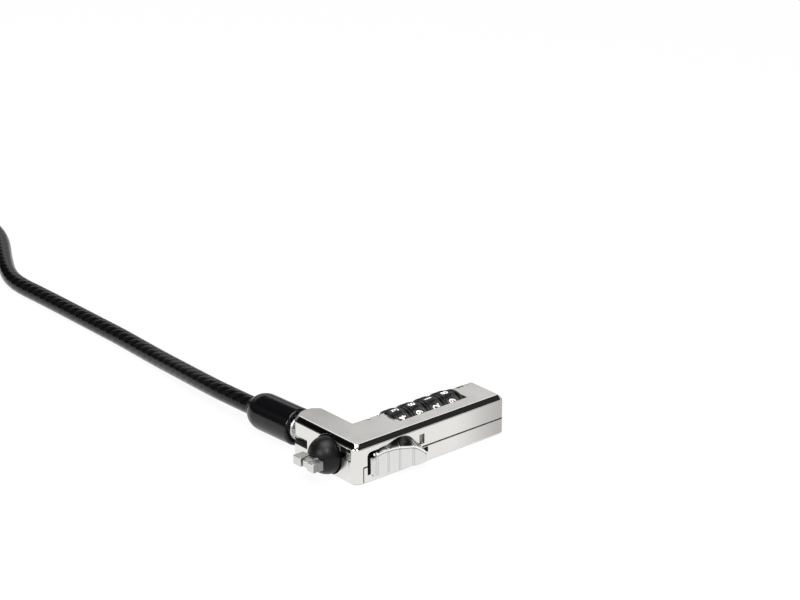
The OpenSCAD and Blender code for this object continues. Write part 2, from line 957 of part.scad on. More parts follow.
module head_stem() {
    color("#a0a2a4")
        placed()
            difference() {
                bar_x(stem_x0, stem_x1, stem_r, head_y, head_z);
                bar_x(stem_x0 - 1, stem_x1 + 1, rod_r + run_gap, head_y, head_z);
                difference() {
                    bar_x(clip_x0, clip_x0 + clip_t, clip_r, head_y, head_z);
                    bar_x(clip_x0, clip_x0 + clip_t, stem_r - 0.5, head_y, head_z);
                }
            }
}

module head_clip() {
    color("#6f7276")
        placed()
            difference() {
                bar_x(clip_x0, clip_x0 + clip_t, clip_r, head_y, head_z);
                bar_x(clip_x0 - 1, clip_x0 + 1, stem_r - 0.5, head_y, head_z);
                block([clip_x0 - 1, head_y - 1, head_z - clip_r - 1], [clip_x0 + 1, head_y + 1, head_z]);
            }
}

// The wedge pin spreads the jaws; pulled back, it lets them close.
module wedge_pin() {
    blade_t = jaw_t - 0.4;
    w0 = jaw_in(blade_x0) - run_gap;
    w1 = jaw_in(blade_x1) - run_gap;
    color("#b9b9b7")
        placed() {
            translate([0, jaw_mid_y, jaw_z - blade_t / 2])
                linear_extrude(blade_t)
                    polygon([[blade_x0, -w0], [blade_x1, -w1], [blade_x1, w1], [blade_x0, w0]]);
            bar_x(blade_x1 - eps, flange_x0 + flange_t, rod_r, head_y, head_z);
            bar_x(flange_x0, flange_x0 + flange_t, flange_r, head_y, head_z);
        }
}

// ---------------------------------------------------------------- swivel

pin_head_r = 1.9;
pin_head_t = 0.7;
pin_top = body_h - 1.3;
module swivel_pin() {
    color("#8d8f92")
        placed()
            translate([pin_x, arm_l, 0]) {
                cylinder(r = pin_r, h = pin_top);
                cylinder(r = pin_head_r, h = pin_head_t);
            }
}

// A flat tongue with an eye for the pin, a bright collar, and a stub on which
// the ferrule turns.
module swivel_neck() {
    color("#dcdcda")
        swung() {
            translate([0, 0, tongue_z - tongue_t / 2])
                linear_extrude(tongue_t)
                    difference() {
                        union() {
                            circle(r = eye_r);
                            polygon([
                                [-tongue_w, 0],
                                [-tongue_w, collar_s - 0.7],
                                [-collar_r + 0.4, collar_s + 0.5],
                                [collar_r - 0.4, collar_s + 0.5],
                                [tongue_w, collar_s - 0.7],
                                [tongue_w, 0]
                            ]);
                        }
                        circle(r = pin_r + run_gap);
                    }
            turned([
                [0, collar_s],
                [collar_r - 0.5, collar_s],
                [collar_r - 0.15, collar_s + 0.15],
                [collar_r, collar_s + 0.5],
                [collar_r, collar_s + 1.5],
                [neck_r, collar_s + 1.5],
                [neck_r, neck_s],
                [0, neck_s]
            ]);
        }
}

// The black ferrule: a barrel with a soft shoulder at the cable's exit.
module ferrule() {
    lip_s = ferrule_end - 0.8;
    color("#151516")
        swung()
            turned([
                [collar_r + 0.07, mouth_s],
                [ferrule_r - 0.5, mouth_s],
                [ferrule_r - 0.18, mouth_s + 0.15],
                [ferrule_r, mouth_s + 0.6],
                [ferrule_r, lip_s - 4],
                [ferrule_r - 0.12, lip_s - 2.9],
                [ferrule_r - 0.45, lip_s - 1.8],
                [ferrule_r - 0.95, lip_s - 0.9],
                [ferrule_r - 1.5, lip_s - 0.25],
                [ferrule_r - 1.9, lip_s],
                [cable_r + run_gap, lip_s],
                [cable_r + run_gap, neck_s + run_gap],
                [neck_r + run_gap, neck_s + run_gap],
                [neck_r + run_gap, collar_s + 1.57],
                [collar_r + 0.07, collar_s + 1.57]
            ]);
}

// The thin ring that closes the ferrule round the cable.
module ferrule_grommet() {
    lip_s = ferrule_end - 0.8;
    color("#3a3a3c")
        swung()
            turned([
                [cable_r + run_gap, lip_s],
                [ferrule_r - 2, lip_s],
                [ferrule_r - 1.85, lip_s + 0.3],
                [ferrule_r - 2, ferrule_end],
                [cable_r + run_gap, ferrule_end]
            ]);
}

// ---------------------------------------------------------------- cable

// A point on the cable's axis inside the ferrule, s away from the pin.
function on_axis(s) = [
    pin_x - datum_x - s * sin(swing),
    arm_l - datum_y + s * cos(swing),
    exit_z
];

// The free stretch, from the ferrule to the coil.
cable_route = [
    [-4.8, 37.6, 4.7],
    [-4.8, 45.8, 4.5],
    [-4.1, 54.8, 4],
    [-3, 64.7, 3.3],
    [-1.9, 74.9, 2.6],
    [-1.1, 84.8, 2.3],
    [-0.7, 94, 2.2],
    [-0.6, 103, 2.2],
    [-0.5, 112.5, 2.2],
    [-0.4, 122, 2.2],
    [-0.4, 131.7, 2.2],
    [-0.4, 140, 2.2],
    [0.4, 146, 2.2],
    [2.5, 152, 2.2],
    [5.5, 158, 2.2],
    [8.8, 164, 2.2],
    [12.2, 170, 2.2],
    [15, 176, 2.2],
    [16.9, 182, 2.2]
];
// The coil: its centre, its loops and its layers.
coil_at = [-12, 195.6];
coil_r0 = 29.5;
coil_r1 = 18.5;
coil_layers = 4;
coil_loops = 9;
loops_in_layer = coil_loops / coil_layers;
rings_in_loop = 24;
layer_h = 4.9;
coil_z = 2.2;
tail_turn = 200 / 360;
tail_r = 34.6;
tail_z = 2.6;

function zigzag(v) = let (m = v % 2) m < 1 ? m : 2 - m;
function coil_r(u) =
    u <= coil_loops
        ? mix(coil_r0, coil_r1, zigzag(u / loops_in_layer))
        : mix(coil_r0, tail_r, ease((u - coil_loops) / 0.2));
function climb(u, k = 1) =
    k >= coil_layers ? 0 : ease((u - k * loops_in_layer) / 0.5 + 0.5) + climb(u, k + 1);
function coil_h(u) =
    mix(
        coil_z + layer_h * climb(min(u, coil_loops)),
        tail_z,
        ease((u - coil_loops - 0.08) / (tail_turn - 0.1))
    );
function coil_point(u) =
    let (r = coil_r(u))
    [coil_at.x + r * cos(360 * u), coil_at.y + r * sin(360 * u), coil_h(u)];

tail_end = coil_point(coil_loops + tail_turn);
tail_way = [-sin(360 * tail_turn), cos(360 * tail_turn), 0];
tail_side = [-tail_way.y, tail_way.x, 0];
tail_stop = tail_end + 1.5 * cable_d * tail_way;
coil_start = [coil_at.x + coil_r0, coil_at.y, coil_z];
coil_path = concat(
    [coil_start - [0, cable_d, 0], coil_start],
    [
        for (i = [1 : coil_loops * rings_in_loop])
            coil_point(i / rings_in_loop)
    ],
    [
        for (i = [1 : 14])
            coil_point(coil_loops + tail_turn * i / 14)
    ],
    [
        tail_end + 0.5 * cable_d * tail_way,
        tail_stop
    ]
);

// Least distance between stretches of the coil that are half a loop apart
// along it, less the diameter: the gap that the turns keep.
function least_gap(p, r) = min([
    for (i = [0 : 2 : len(p) - 1])
        for (j = [i + 12 : len(p) - 1])
            norm(p[i] - p[j]) - 2 * r
]);
echo(coil_gap = least_gap(coil_path, cable_r));

module cable() {
    color("#101011")
        tube(
            concat(
                [on_axis(neck_s), on_axis(neck_s + 4), on_axis(ferrule_end)],
                cable_route,
                [coil_start - [0, 2 * cable_d, 0], coil_start - [0, cable_d, 0]]
            ),
            cable_r,
            10
        );
}

module cable_coil() {
    color("#101011")
        tube(coil_path, cable_r, 6);
}

// The crimped sleeve that makes the loop: a flat oval over two cable runs.
sleeve_l = 12;
run_pitch = cable_d + 0.3;
module loop_sleeve() {
    mid = tail_stop + run_pitch / 2 * tail_side;
    color("#9c9c9a")
        translate([mid.x, mid.y, tail_z])
            rotate([0, 0, 360 * tail_turn])
                rotate([-90, 0, 0])
                    linear_extrude(sleeve_l)
                        union() {
                            for (side = [-1, 1])
                                translate([side * run_pitch / 2, 0])
                                    circle(r = tail_z);
                            square([run_pitch, 2 * tail_z], center = true);
                        }
}

// The loop of cable at the far end, from one run in the sleeve to the other.
eye_half_w = 8.5;
eye_l = 27;
module loop_eye() {
    start = tail_stop + sleeve_l * tail_way + run_pitch / 2 * tail_side;
    lead = 1.2;
    bow = [
        for (i = [0 : 24])
            let (t = i / 24)
            let (across = -cos(180 * t) * (run_pitch / 2 + (eye_half_w - run_pitch / 2) *
                ease(min(t, 1 - t) * 4)))
            let (along = lead + (eye_l - lead) * sin(180 * t))
            start + along * tail_way + across * tail_side
    ];
    path = concat([bow[0] - lead * tail_way], bow, [bow[24] - lead * tail_way]);
    color("#101011")
        tube(path, cable_r, 8);
}

upper_housing();
bottom_cover();
cover_screws();
dial_1();
dial_2();
dial_3();
dial_4();
code_sleeve_1();
code_sleeve_2();
code_sleeve_3();
code_sleeve_4();
spindle();
spindle_bush();
detent_leaf();
return_spring();
reset_screw();
slider();
draw_link();
nose_ball();
head_stem();
head_clip();
wedge_pin();
jaw_front();
jaw_back();
swivel_neck();
swivel_pin();
ferrule();
ferrule_grommet();
cable();
cable_coil();
loop_sleeve();
loop_eye();
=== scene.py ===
import itertools
import math

import bmesh
import bpy
import numpy as np
from mathutils import Matrix, Vector


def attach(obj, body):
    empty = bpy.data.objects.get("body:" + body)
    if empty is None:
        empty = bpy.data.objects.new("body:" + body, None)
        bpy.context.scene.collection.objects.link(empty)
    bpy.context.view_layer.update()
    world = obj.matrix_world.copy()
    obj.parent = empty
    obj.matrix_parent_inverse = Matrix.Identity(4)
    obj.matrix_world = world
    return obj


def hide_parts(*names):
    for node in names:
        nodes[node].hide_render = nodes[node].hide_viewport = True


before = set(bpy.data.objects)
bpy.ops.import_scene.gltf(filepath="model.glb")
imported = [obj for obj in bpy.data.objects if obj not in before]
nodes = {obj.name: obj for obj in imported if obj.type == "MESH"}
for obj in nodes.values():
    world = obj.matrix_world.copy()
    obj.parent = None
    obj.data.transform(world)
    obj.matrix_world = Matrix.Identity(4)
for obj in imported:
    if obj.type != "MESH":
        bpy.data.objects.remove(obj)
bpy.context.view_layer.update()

# ---------------------------------------------------------------- studio
# A seamless white table under a soft studio. The ceiling has a dark ring and
# the left-hand wall is black, so that bright metal and black plastic have
# something to reflect besides white.

MM = 0.001
EYE = Vector((-350.63, -428.76, 262.82)) * MM
LENS_HEADING = math.radians(40.352)
LENS_DOWN = math.radians(21.852)
LENS_ROLL = math.radians(0.116)
SENSOR_W, FOCAL_L = 36, 118.8

ahead = Vector(
    (
        math.cos(LENS_DOWN) * math.sin(LENS_HEADING),
        math.cos(LENS_DOWN) * math.cos(LENS_HEADING),
        -math.sin(LENS_DOWN),
    )
)
level = Vector((math.cos(LENS_HEADING), -math.sin(LENS_HEADING), 0))
right = Matrix.Rotation(LENS_ROLL, 3, ahead) @ level
turn = Matrix((right, right.cross(ahead), -ahead)).transposed()
lens = bpy.data.cameras.new("lens")
lens.sensor_width = SENSOR_W
lens.lens = FOCAL_L
lens.clip_start = 0.01
eye = bpy.data.objects.new("eye", lens)
eye.matrix_world = Matrix.Translation(EYE) @ turn.to_4x4()
bpy.context.scene.collection.objects.link(eye)
bpy.context.scene.camera = eye
bpy.context.scene.view_settings.view_transform = "Standard"


class Socket:
    """One output in a node tree; plain arithmetic on it adds Math nodes."""

    def __init__(self, tree, out):
        self.tree, self.out = tree, out

    def math(self, operation, *values):
        return add(
            self.tree,
            "ShaderNodeMath",
            {"operation": operation},
            dict(enumerate(values)),
        )

    def __add__(self, other):
        return self.math("ADD", self, other)

    def __sub__(self, other):
        return self.math("SUBTRACT", self, other)

    def __rsub__(self, other):
        return self.math("SUBTRACT", other, self)

    def __mul__(self, other):
        return self.math("MULTIPLY", self, other)

    __radd__ = __add__
    __rmul__ = __mul__

    def sin(self):
        return self.math("SINE", self)

    def size(self):
        return self.math("ABSOLUTE", self)

    def most(self, other):
        return self.math("MAXIMUM", self, other)

    def between(self, low, high):
        """0 below low, 1 above high, with a smooth step in between."""
        return add(
            self.tree,
            "ShaderNodeMapRange",
            {"interpolation_type": "SMOOTHSTEP"},
            {0: self, 1: low, 2: high},
        )


def add(tree, kind, settings=None, sockets=None, out=0):
    """Adds one node: its settings first, then its sockets' values or links."""
    node = tree.nodes.new(kind)
    for name, value in (settings or {}).items():
        if name == "stops":
            ramp = node.color_ramp
            while len(ramp.elements) < len(value):
                ramp.elements.new(0.5)
            for element, (place, grey) in zip(ramp.elements, value):
                element.position = place
                element.color = (grey, grey, grey, 1)
        else:
            setattr(node, name, value)
    for name, value in (sockets or {}).items():
        if isinstance(value, Socket):
            tree.links.new(value.out, node.inputs[name])
        else:
            node.inputs[name].default_value = value
    return Socket(tree, node.outputs[out])


def split(tree, vector):
    """The X, Y and Z of a vector socket."""
    node = tree.nodes.new("ShaderNodeSeparateXYZ")
    tree.links.new(vector.out, node.inputs[0])
    return [Socket(tree, node.outputs[k]) for k in range(3)]


def mix_colour(tree, factor, first, second):
    """Goes from the first colour to the second as factor goes from 0 to 1."""
    first, second = [c if isinstance(c, Socket) else (*c, 1) for c in (first, second)]
    sockets = {0: factor, 6: first, 7: second}
    return add(tree, "ShaderNodeMix", {"data_type": "RGBA"}, sockets, out=2)


def is_ray(tree, *kinds):
    """1 for a ray of one of these kinds, 0 for other light."""
    path = tree.nodes.new("ShaderNodeLightPath")
    mask, *others = [Socket(tree, path.outputs[f"Is {kind} Ray"]) for kind in kinds]
    for other in others:
        mask = mask.most(other)
    return mask


world = bpy.data.worlds.new("studio")
world.use_nodes = True
sky = world.node_tree
sky.nodes.clear()
coordinates = sky.nodes.new("ShaderNodeTexCoord")
east, north, height = split(sky, Socket(sky, coordinates.outputs["Generated"]))

# How light the sky is, from straight below at 0 to straight above at 1.
CEILING = [
    (0.50, 0.15),
    (0.62, 0.3),
    (0.70, 0.84),
    (0.72, 1.0),
    (0.752, 1.0),
    (0.764, 0.03),
    (0.94, 0.02),
    (0.952, 1.0),
]

# The black wall fades out where the sky's east and north pass these spans.
WALL_EAST, WALL_NORTH, WALL_DARK = (-0.25, 0.25), (0.1, 0.45), 0.88
ceiling = add(sky, "ShaderNodeValToRGB", {"stops": CEILING}, {0: height * 0.5 + 0.5})
wall = (1 - east.between(*WALL_EAST)) * north.between(*WALL_NORTH)
ceiling = mix_colour(sky, wall * WALL_DARK, ceiling, (0, 0, 0))
shade = mix_colour(sky, is_ray(sky, "Camera"), ceiling, (1, 1, 1))
background = sky.nodes.new("ShaderNodeBackground")
sky.links.new(shade.out, background.inputs[0])
world_out = sky.nodes.new("ShaderNodeOutputWorld")
sky.links.new(background.outputs[0], world_out.inputs[0])
bpy.context.scene.world = world

HALF_TABLE = 3
PAPER_SHADE = (0.9, 0.9, 0.9, 1)
PAPER_GLOW = 0.93
table = bpy.data.meshes.new("table")
corners = [(HALF_TABLE * x, HALF_TABLE * y, 0) for x, y in ((-1, -1), (1, -1), (1, 1), (-1, 1))]
table.from_pydata(corners, [], [(0, 1, 2, 3)])
table_top = bpy.data.objects.new("table_top", table)
bpy.context.scene.collection.objects.link(table_top)
paper = bpy.data.materials.new("white paper")
paper.use_nodes = True
sheet = paper.node_tree
sheet.nodes.clear()
seen = is_ray(sheet, "Camera", "Glossy", "Transmission")
plain = sheet.nodes.new("ShaderNodeBsdfDiffuse")
plain.inputs[0].default_value = PAPER_SHADE
glow = sheet.nodes.new("ShaderNodeEmission")
blend = sheet.nodes.new("ShaderNodeMixShader")
sheet.links.new((seen * PAPER_GLOW).out, blend.inputs[0])
sheet.links.new(plain.outputs[0], blend.inputs[1])
sheet.links.new(glow.outputs[0], blend.inputs[2])
paper_out = sheet.nodes.new("ShaderNodeOutputMaterial")
sheet.links.new(blend.outputs[0], paper_out.inputs[0])
table.materials.append(paper)


def lamp(name, place, power, width):
    """A square soft box that points from place to the lock."""
    light = bpy.data.lights.new(name, "AREA")
    light.energy = power
    light.size = width
    obj = bpy.data.objects.new(name, light)
    aim = (-Vector(place)).to_track_quat("-Z", "Y")
    obj.matrix_world = Matrix.Translation(place) @ aim.to_matrix().to_4x4()
    bpy.context.scene.collection.objects.link(obj)


lamp("overhead", (-0.1, 0.05, 0.8), 5.0, 0.6)
lamp("left_side", (-0.75, -0.05, 0.45), 2.5, 0.3)
lamp("key", (-0.36, -0.46, 0.66), 3.2, 0.22)

# ---------------------------------------------------------------- cable
# Twisted steel strands in a dark, clear plastic sheath, moulded into the
# ferrule. The part that isn't in use lies in a neat coil behind the lock.

CABLE_D = 4.53 * MM
LAY = 17 * MM
STRANDS = 6

# The cable leaves the ferrule a little askew, and its axis lies LIE_Z high
# on the table. STEP is the spacing of the route's points where it coils.
SWING = math.radians(3)
PIN = np.array([-3.4, 10.3, 4.7]) * MM
MOUTH = 15
LIE_Z = 2.27
STEP = 4.4


def along_ferrule(distance):
    """The point on the ferrule's axis this far, in mm, from the swivel pin."""
    return PIN + distance * MM * np.array([-math.sin(SWING), math.cos(SWING), 0])


ROUTE = [
    (-4.8, 37.6, 4.7),
    (-4.8, 45.8, 4.5),
    (-4.1, 54.8, 4),
    (-3, 64.7, 3.3),
    (-1.9, 74.9, 2.6),
    (-1.1, 84.8, 2.3),
    (-0.7, 94, LIE_Z),
    (-0.6, 103, LIE_Z),
    (-0.5, 112.5, LIE_Z),
    (-0.4, 122, LIE_Z),
    (-0.4, 131.7, LIE_Z),
    (-0.4, 140, LIE_Z),
    (0.4, 146, LIE_Z),
    (2.5, 152, LIE_Z),
    (5.5, 158, LIE_Z),
    (8.8, 164, LIE_Z),
    (12.2, 170, LIE_Z),
    (15, 176, LIE_Z),
    (16.9, 182, LIE_Z),
]
COIL_CENTRE = np.array([-12, 195.6])
COIL_OUTER, COIL_INNER = 29.5, 18.5
LOOPS, LAYERS = 9, 4
LAYER_H = 4.9
TAIL_TURN = 200 / 360
TAIL_R, TAIL_Z = 34.6, 2.6
CLIMB, LEAVE, DROP_FROM, DROP = 0.5, 0.2, 0.08, TAIL_TURN - 0.1
LOOP_STEPS, TAIL_STEPS = 24, 14


def ease(t):
    """A smooth step from 0 to 1."""
    t = np.clip(t, 0, 1)
    return t * t * (3 - 2 * t)


def coil_line(u):
    """The coil's centreline after u loops, in mm.

    Its radius runs in and out between two limits. It climbs a layer in the
    half turn where it reverses, and at last goes down outside to the table.
    Spans along it are in turns.
    """
    layer = LOOPS / LAYERS
    saw = np.abs((u / layer + 1) % 2 - 1)
    wound = COIL_OUTER + (COIL_INNER - COIL_OUTER) * saw
    leaving = COIL_OUTER + (TAIL_R - COIL_OUTER) * ease((u - LOOPS) / LEAVE)
    radius = np.where(u <= LOOPS, wound, leaving)
    inside = np.minimum(u, LOOPS)
    steps = sum(ease((inside - k * layer) / CLIMB + 0.5) for k in range(1, LAYERS))
    high = LIE_Z + LAYER_H * steps
    down = ease((u - LOOPS - DROP_FROM) / DROP)
    turn = 2 * math.pi * u
    return np.stack(
        [
            COIL_CENTRE[0] + radius * np.cos(turn),
            COIL_CENTRE[1] + radius * np.sin(turn),
            high + (TAIL_Z - high) * down,
        ],
        axis=1,
    )


coil_start = np.array([COIL_CENTRE[0] + COIL_OUTER, COIL_CENTRE[1], LIE_Z])
tail_angle = 2 * math.pi * TAIL_TURN
tail_way = np.array([-math.sin(tail_angle), math.cos(tail_angle), 0])
tail_side = np.array([-tail_way[1], tail_way[0], 0])
turns = coil_line(np.arange(1, LOOPS * LOOP_STEPS + 1) / LOOP_STEPS)
tail = coil_line(LOOPS + TAIL_TURN * np.arange(1, TAIL_STEPS + 1) / TAIL_STEPS)
tail_stop = tail[-1] + 1.5 * STEP * tail_way
cable_line = np.vstack(
    [
        along_ferrule(MOUTH),
        along_ferrule(19),
        along_ferrule(22.3),
        np.array(ROUTE) * MM,
        (coil_start - [0, 2 * STEP, 0]) * MM,
        (coil_start - [0, STEP, 0]) * MM,
        coil_start * MM,
        turns * MM,
        tail * MM,
        (tail[-1] + 0.5 * STEP * tail_way) * MM,
        tail_stop * MM,
    ]
)


def smooth_line(points, spacing):
    """A Catmull-Rom curve through points, cut at even steps of its length.

    Between points b and c, with a before and d after them, it is half of
    2b + (c - a)t + (2a - 5b + 4c - d)t^2 + (3b - a - 3c + d)t^3.
    """
    p = np.vstack([2 * points[0] - points[1], points, 2 * points[-1] - points[-2]])
    t = np.linspace(0, 1, 12, endpoint=False)[:, None, None]
    a, b, c, d = p[:-3], p[1:-2], p[2:-1], p[3:]
    square, cube = 2 * a - 5 * b + 4 * c - d, 3 * b - a - 3 * c + d
    curve = 0.5 * (2 * b + (c - a) * t + square * t**2 + cube * t**3)
    curve = np.vstack([curve.transpose(1, 0, 2).reshape(-1, 3), points[-1:]])
    run = np.concatenate([[0], np.cumsum(np.linalg.norm(np.diff(curve, axis=0), axis=1))])
    steps = np.linspace(0, run[-1], int(run[-1] / spacing) + 1)
    return np.stack([np.interp(steps, run, curve[:, k]) for k in range(3)], axis=1), steps


def tube(line, radius, sides):
    """Rings of points square to a line, and the quads between them.

    A ring point is line + radius * (cos a * side + sin a * up), where side is
    level and square to the line. The radius may differ along the line.
    """
    way = np.gradient(line, axis=0)
    way /= np.linalg.norm(way, axis=1)[:, None]
    side = np.cross([0, 0, 1], way)
    side /= np.linalg.norm(side, axis=1)[:, None]
    up = np.cross(way, side)
    a = 2 * np.pi * np.arange(sides) / sides
    radius = np.broadcast_to(radius, len(line))[:, None, None]
    ring = np.cos(a)[None, :, None] * side[:, None] + np.sin(a)[None, :, None] * up[:, None]
    points = (line[:, None] + radius * ring).reshape(-1, 3)
    return points, grid_faces(len(line), sides)


def grid_faces(rows, columns):
    """Quads between rings of points, the last column joined to the first."""
    i, j = np.meshgrid(np.arange(rows - 1), np.arange(columns), indexing="ij")
    k = (j + 1) % columns
    quads = [i * columns + j, i * columns + k, (i + 1) * columns + k, (i + 1) * columns + j]
    return np.stack(quads, axis=-1).reshape(-1, 4)


def end_caps(rows, columns, flip=False):
    """The first and the last ring of points as faces that close a tube."""
    first, last = range(columns), range((rows - 1) * columns, rows * columns)
    return [first, last[::-1]] if flip else [first[::-1], last]


SHARP_ANGLE = math.radians(38)


def piece(name, points, faces, material, body, stands_for=(), caps=()):
    """A smooth-shaded piece in the object's own frame, riding on a body."""
    mesh = bpy.data.meshes.new(name)
    ends = [list(c) for c in caps]
    mesh.from_pydata(np.asarray(points).tolist(), [], np.asarray(faces).tolist() + ends)
    mesh.shade_smooth()
    mesh.set_sharp_from_angle(angle=SHARP_ANGLE)
    mesh.materials.append(material)
    obj = bpy.data.objects.new(name, mesh)
    bpy.context.scene.collection.objects.link(obj)
    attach(obj, body)
    if stands_for:
        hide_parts(*stands_for)
    return obj


def finish(name, **sockets):
    """A Principled material; call paint() next with what varies over it."""
    material = bpy.data.materials.new(name)
    material.use_nodes = True
    tree = material.node_tree
    shader = tree.nodes["Principled BSDF"]
    for socket, value in sockets.items():
        shader.inputs[socket.replace("_", " ")].default_value = value
    return material, tree, shader


def paint(shader, tree, **links):
    """Links what varies over a surface to the Principled shader."""
    for socket, value in links.items():
        tree.links.new(value.out, shader.inputs[socket.replace("_", " ")])


def own_place(tree):
    """Object coordinates, in millimetres."""
    node = tree.nodes.new("ShaderNodeTexCoord")
    return add(
        tree,
        "ShaderNodeVectorMath",
        {"operation": "SCALE"},
        {0: Socket(tree, node.outputs["Object"]), "Scale": 1000.0},
    )


def own_normal(tree):
    """The X, Y and Z of the surface's normal, which turns with the piece."""
    node = tree.nodes.new("ShaderNodeTexCoord")
    return split(tree, Socket(tree, node.outputs["Normal"]))


def noise(tree, place, scale, detail=3.0, stretch=(1, 1, 1)):
    """Cloudy noise from 0 to 1, with a stretch along X, Y and Z."""
    mapped = add(tree, "ShaderNodeMapping", None, {"Vector": place, "Scale": stretch})
    sockets = {"Vector": mapped, "Scale": scale, "Detail": detail}
    return add(tree, "ShaderNodeTexNoise", None, sockets)


def bump(tree, height, strength, depth):
    """A normal that is tilted by a height map of this depth, in mm."""
    sockets = {"Height": height, "Strength": strength, "Distance": depth * MM}
    return add(tree, "ShaderNodeBump", None, sockets)


sheath, tree, shader = finish("clear sheath over strands", IOR=1.5, Specular_IOR_Level=0.3)
laid_out = Socket(tree, tree.nodes.new("ShaderNodeUVMap").outputs[0])
u, v, _ = split(tree, laid_out)
strand = ((v * STRANDS + u * STRANDS) * (2 * math.pi)).sin() * 0.5 + 0.5
wires = ((v * (STRANDS * 4) - u * (STRANDS * 2)) * (2 * math.pi)).sin() * 0.5 + 0.5
ridge = strand.between(0.05, 0.7) * (wires * 0.3 + 0.7)
lit_side = (v + strand * 0.02).between(0.81, 0.86) * (1 - v.between(0.94, 1.0))
paint(
    shader,
    tree,
    Base_Color=mix_colour(
        tree,
        lit_side * (wires * 0.4 + 0.6),
        mix_colour(tree, ridge, (0.001, 0.001, 0.0012), (0.005, 0.005, 0.0055)),
        (0.04, 0.04, 0.038),
    ),
    Roughness=ridge * -0.1 + 0.24,
    Normal=bump(tree, ridge, 0.3, 0.18),
)

line, run = smooth_line(cable_line, 0.9 * MM)
CABLE_SIDES = 24
cable_points, cable_faces = tube(line, CABLE_D / 2, CABLE_SIDES)
lock_cable = piece(
    "lock_cable",
    cable_points,
    cable_faces,
    sheath,
    "swivel",
    ("cable", "cable_coil"),
    caps=end_caps(len(line), CABLE_SIDES),
)


def wrap_lengthwise(obj, run, sides, lay):
    """UVs of a tube: U is the length in lays of the strands, V goes round."""
    mesh = obj.data
    layer = mesh.uv_layers.new(name="UVMap")
    corner = np.empty(len(mesh.loops), dtype=np.int32)
    mesh.loops.foreach_get("vertex_index", corner)
    row, column = corner // sides, corner % sides
    starts = np.empty(len(mesh.polygons), dtype=np.int32)
    counts = np.empty(len(mesh.polygons), dtype=np.int32)
    mesh.polygons.foreach_get("loop_start", starts)
    mesh.polygons.foreach_get("loop_total", counts)
    face = np.repeat(np.arange(len(starts)), counts)
    last = np.maximum.reduceat(column, starts)[face] == sides - 1
    column = np.where(last & (column == 0) & (counts[face] == 4), sides, column)
    uv = np.stack([run[row] / lay, column / sides], axis=1)
    layer.data.foreach_set("uv", uv.astype(np.float32).ravel())


wrap_lengthwise(lock_cable, run, CABLE_SIDES, LAY)

# The loop at the cable's far end: the cable bent back on itself and held by
# an oval aluminium sleeve, pressed over both runs with a ribbed tool.

SLEEVE_L = 12.0
RUN_PITCH = 4.7
EYE_HALF_W, EYE_L, EYE_LEAD = 8.5, 27.0, 1.2
t = np.linspace(0, 1, 25)
swelling = ease(np.minimum(t, 1 - t) * 4)
across = -np.cos(np.pi * t) * (RUN_PITCH / 2 + (EYE_HALF_W - RUN_PITCH / 2) * swelling)
forward = EYE_LEAD + (EYE_L - EYE_LEAD) * np.sin(np.pi * t)
eye_start = tail_stop + SLEEVE_L * tail_way + RUN_PITCH / 2 * tail_side
bow = eye_start + forward[:, None] * tail_way + across[:, None] * tail_side
eye_line = np.vstack([bow[0] - EYE_LEAD * tail_way, bow, bow[-1] - EYE_LEAD * tail_way])
eye_curve, eye_run = smooth_line(eye_line * MM, 0.7 * MM)
eye_points, eye_faces = tube(eye_curve, CABLE_D / 2, CABLE_SIDES)
far_loop = piece(
    "far_loop",
    eye_points,
    eye_faces,
    sheath,
    "swivel",
    ("loop_eye",),
    caps=end_caps(len(eye_curve), CABLE_SIDES),
)
wrap_lengthwise(far_loop, eye_run, CABLE_SIDES, LAY)

crimped, tree, shader = finish("crimped aluminium", Metallic=1.0, Base_Color=(0.74, 0.74, 0.73, 1))
where = own_place(tree)
scuffs = noise(tree, where, 1.4, 4.0)
paint(shader, tree, Roughness=scuffs * 0.25 + 0.28, Normal=bump(tree, scuffs, 0.25, 0.2))

# The sleeve's section is a stadium round both runs of the cable. Along it,
# the tool's presses make it shallower, and its rims are rounded.
SLEEVE_ROWS, SLEEVE_SIDES = 61, 64
PRESSES, PRESS_D = 5, 0.12
RIM_L, RIM_D = 0.5, 0.25
s = np.linspace(0, 1, SLEEVE_ROWS)
wave = np.sin(2 * np.pi * s * PRESSES - np.pi / 2)
press = PRESS_D * ease((wave + 0.2) * 2) * ease(s * 12) * ease((1 - s) * 12)
from_rim = np.clip(1 - np.minimum(s, 1 - s) * SLEEVE_L / RIM_L, 0, 1)
rim = RIM_D * (1 - np.sqrt(1 - from_rim**2))
a = np.linspace(0, 2 * np.pi, SLEEVE_SIDES, endpoint=False)
oval_x = RUN_PITCH / 2 * np.clip(np.cos(a) * 2.2, -1, 1)
half_h = TAIL_Z - press - rim
sleeve_mid = tail_stop + RUN_PITCH / 2 * tail_side
sleeve = (
    sleeve_mid
    + (s * SLEEVE_L)[:, None, None] * tail_way
    + (oval_x + half_h[:, None] * np.cos(a))[..., None] * tail_side
    + (half_h[:, None] * np.sin(a))[..., None] * np.array([0, 0, 1])
)
crimp_sleeve = piece(
    "crimp_sleeve",
    sleeve.reshape(-1, 3) * MM,
    grid_faces(SLEEVE_ROWS, SLEEVE_SIDES)[:, ::-1],
    crimped,
    "swivel",
    ("loop_sleeve",),
    caps=end_caps(SLEEVE_ROWS, SLEEVE_SIDES, flip=True),
)

# ---------------------------------------------------------------- body
# A die-cast zinc body with a screwed-on bottom cover, both plated and satin
# finished, with a polished chamfer round the top.

SAME_POINT = 0.002 * MM
SAME_PLANE = math.radians(0.4)
REAL_EDGE = math.radians(32)


